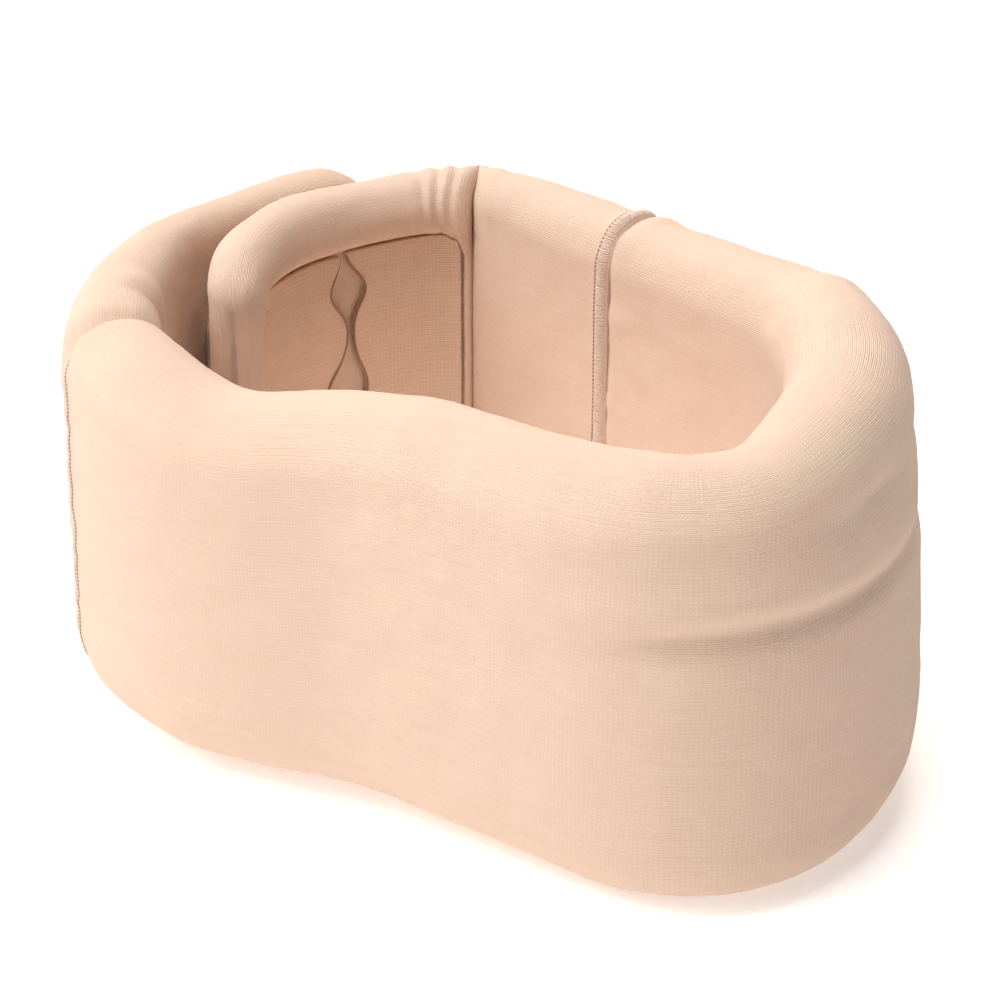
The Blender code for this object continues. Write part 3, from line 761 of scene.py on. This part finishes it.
def overlock(name, run, at, toward, width, seed):
    """Flat loops of thread across a band beside the seam, and needle stitches sunk in the seam's furrow."""
    rng = np.random.default_rng(seed)
    pitch, perimeter = 0.00098, 0.205
    count = round(perimeter / pitch)
    reach = np.linspace(0.0, 1.0, 7)
    loops, edge, needle = [], [], []
    for k in range(count):
        share = (k + rng.uniform(-0.12, 0.12)) / count
        slant = rng.uniform(0.1, 0.5) / count
        long = width * rng.uniform(0.93, 1.03)
        for lane in (0.0, 0.48 / count):
            s = at + toward * (0.0003 + (long - 0.0003) * reach)
            lift = -0.00010 + 0.00020 * np.sin(math.pi * np.clip(reach, 0, 1)) ** 0.6
            loops.append(surface(run, s, share + lane + slant * reach, lift))
        bite = (k + 0.18 + 0.64 * reach) / count
        needle.append(surface(run, np.full(7, at + toward * width * 1.06), bite, -0.00004 + 0.00016 * np.sin(math.pi * reach)))
    return threads(name, loops, 0.00019, thread), threads(name.replace("loops", "needle_line"), needle, 0.00013, dark_thread_and_shadow_line)


left_seam, left_needle = overlock("left_seam_overlock_loops", "front", 0.0, 1, 0.0031, 5)
right_seam, right_needle = overlock("right_seam_overlock_loops", "side", 0.0, 1, 0.0031, 6)
for piece in (left_seam, left_needle):
    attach(piece, "front")
    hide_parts("left_overlock_seam")
for piece in (right_seam, right_needle):
    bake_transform(piece)
    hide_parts("right_overlock_seam")

# ---- CAD nodes that stay: tapes and their stitching ----
hook_material = tape_material("hook_tape_nylon", (0.72, 0.54, 0.42), 2600.0, 0.75)
loop_material = tape_material("loop_tape_pile", (0.76, 0.56, 0.44), 1700.0, 0.98)
for node, material in (
    ("hook_tape", hook_material), ("loop_tape", loop_material),
    ("hook_tape_stitching", thread), ("loop_tape_stitching", thread),
):
    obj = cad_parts[node]
    obj.data.materials.clear()
    obj.data.materials.append(material)


# ---- recess lining ----
def slot_middle(z):
    return RECESS_FIRST + 0.44 * (RECESS_LAST - RECESS_FIRST) + 0.0010 * np.sin((z - 0.02) / 0.045 * 2 * math.pi)


def slot_half(z):
    """A waisted slot: two rounded openings joined by a narrow neck."""
    t = np.clip((z - RECESS_LOW) / (RECESS_HIGH - RECESS_LOW), 0.0, 1.0)
    return 0.0008 + 0.0040 * bell(t - 0.84, 0.085) + 0.0050 * bell(t - 0.43, 0.13)


def lining(name, first, last, lift, node, seed):
    rows, columns = 64, 40
    z = np.linspace(RECESS_LOW + 0.0008, RECESS_HIGH - 0.0006, rows)
    a, b = first(z), last(z)
    share = np.linspace(0, 1, columns)
    S = a[:, None] + (b - a)[:, None] * share[None]
    Z = np.repeat(z[:, None], columns, 1)
    half = end.sizes(S)[0]
    drop = recess_depth(S, Z) - RECESS_DEPTH
    lift = lift + 0.00025 * wave_noise(S, Z, 0.016, seed)
    inner = end.at(S, -half + RECESS_DEPTH + drop - lift - 0.0009, Z)
    under = end.at(S, -half + RECESS_DEPTH + drop - lift, Z)
    points = np.concatenate([inner.reshape(-1, 3), under.reshape(-1, 3)])
    faces, uv = [], []
    grid = lambda i, j, layer: layer * rows * columns + i * columns + j
    for i in range(rows - 1):
        for j in range(columns - 1):
            faces.append((grid(i, j, 0), grid(i, j + 1, 0), grid(i + 1, j + 1, 0), grid(i + 1, j, 0)))
            faces.append((grid(i, j, 1), grid(i + 1, j, 1), grid(i + 1, j + 1, 1), grid(i, j + 1, 1)))
    for i in range(rows - 1):
        faces.append((grid(i, 0, 0), grid(i + 1, 0, 0), grid(i + 1, 0, 1), grid(i, 0, 1)))
        faces.append((grid(i, columns - 1, 0), grid(i, columns - 1, 1), grid(i + 1, columns - 1, 1), grid(i + 1, columns - 1, 0)))
    for j in range(columns - 1):
        faces.append((grid(0, j, 0), grid(0, j, 1), grid(0, j + 1, 1), grid(0, j + 1, 0)))
        faces.append((grid(rows - 1, j, 0), grid(rows - 1, j + 1, 0), grid(rows - 1, j + 1, 1), grid(rows - 1, j, 1)))
    flat_s, flat_z = S.ravel(), Z.ravel()
    for f in faces:
        for q in f:
            uv.append((flat_s[q % (rows * columns)], flat_z[q % (rows * columns)]))
    obj = new_mesh(name, points, faces, uv)
    set_faces_outward(obj)
    bevel = obj.modifiers.new("soft edge", "BEVEL")
    bevel.width, bevel.segments, bevel.limit_method, bevel.angle_limit = 0.0003, 2, "ANGLE", math.radians(50)
    obj.data.materials.append(lining_knit)
    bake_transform(obj)
    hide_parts(node)
    return obj


# the lining's second colour is painted shade for the grooves between its stitches, and also the tone of its thicker
# yarn rows
lining_knit = knit_material("lining_jersey", (0.92, 0.69, 0.53), (0.72, 0.46, 0.32), bump=0.7, wale=0.00105, course=0.0009)
lining("recess_lining_fold_panel", lambda z: np.full_like(z, RECESS_FIRST + 0.0006), lambda z: slot_middle(z) - slot_half(z), 0.0004, "recess_lining_side", 51)
lining("recess_lining_end_panel", lambda z: slot_middle(z) + slot_half(z), lambda z: np.full_like(z, RECESS_LAST - 0.0004), 0.0010, "recess_lining_end", 52)



def slot_shadow_line(name, edge, lift):
    """Painted shadow: a dark brown thread tube along the edge of the slot, standing in for the thin shadow line at the
    lining's cut edge.
    """
    z = np.linspace(RECESS_LOW + 0.0012, RECESS_HIGH - 0.0010, 70)
    s = edge(z)
    out = end.sizes(s)[0] - recess_depth(s, z) + lift + 0.0009
    # painted shadow: this dark tube darkens the slot's edge as a shadow line would
    piece = threads(name, [end.at(s, -out, z)], 0.00030, dark_thread_and_shadow_line)
    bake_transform(piece)
    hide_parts("recess_lining_end")


slot_shadow_line("slot_shadow_line_fold_side", lambda z: slot_middle(z) - slot_half(z), 0.0004)
slot_shadow_line("slot_shadow_line_end_side", lambda z: slot_middle(z) + slot_half(z), 0.0010)

# ---- floor and light ----
floor = new_mesh("studio_floor", [(-6, -6, -0.0003), (6, -6, -0.0003), (6, 6, -0.0003), (-6, 6, -0.0003)], [(0, 1, 2, 3)])
paper = Nodes("pale_paper")
paper.shader.inputs["Roughness"].default_value = 0.9
paper.shader.inputs["Specular IOR Level"].default_value = 0.1
grain = paper.noise(paper.object_place(), 40.0, 2.0)
paper.feed(paper.shader.inputs["Base Color"], paper.mix(grain, (0.93, 0.93, 0.93), (0.95, 0.95, 0.95)))
paper.shader.inputs["Emission Color"].default_value = (1.0, 0.97, 0.94, 1)
paper.shader.inputs["Emission Strength"].default_value = 0.42
floor.data.materials.append(paper.material)

world = bpy.data.worlds.new("studio")
scene.world = world
world.use_nodes = True
world.node_tree.nodes["Background"].inputs[0].default_value = (1.0, 0.985, 0.97, 1.0)
world.node_tree.nodes["Background"].inputs[1].default_value = 0.03


def softbox(name, toward, distance, size, power, colour=(1, 1, 1)):
    light = bpy.data.lights.new(name, "AREA")
    light.shape = "DISK"
    light.size = size
    light.energy = power
    light.color = colour
    obj = bpy.data.objects.new(name, light)
    direction = Vector(toward).normalized()
    obj.location = Vector((0, 0, 0.04)) + direction * distance
    obj.rotation_mode = "QUATERNION"
    obj.rotation_quaternion = (-direction).to_track_quat("-Z", "Y")
    scene.collection.objects.link(obj)
    return obj


# toward: the camera looks from (-0.8, -0.6), so (-0.6, 0.8) is to its left
softbox("left_softbox", (-0.386, 0.514, 0.766), 1.4, 1.1, 14.5, (0.975, 0.995, 1.0))
softbox("front_left_softbox", (-0.636, 0.091, 0.766), 1.4, 1.1, 6.4, (1.0, 0.98, 0.96))
softbox("back_softbox", (0.742, 0.556, 0.375), 1.4, 1.1, 13.0, (1.0, 0.78, 0.67))
softbox("overhead_softbox", (0.0, 0.0, 1.0), 1.4, 0.7, 10.5, (0.975, 0.995, 1.0))

scene.view_settings.view_transform = "Standard"
scene.view_settings.look = "None"
scene.view_settings.exposure = 0.0
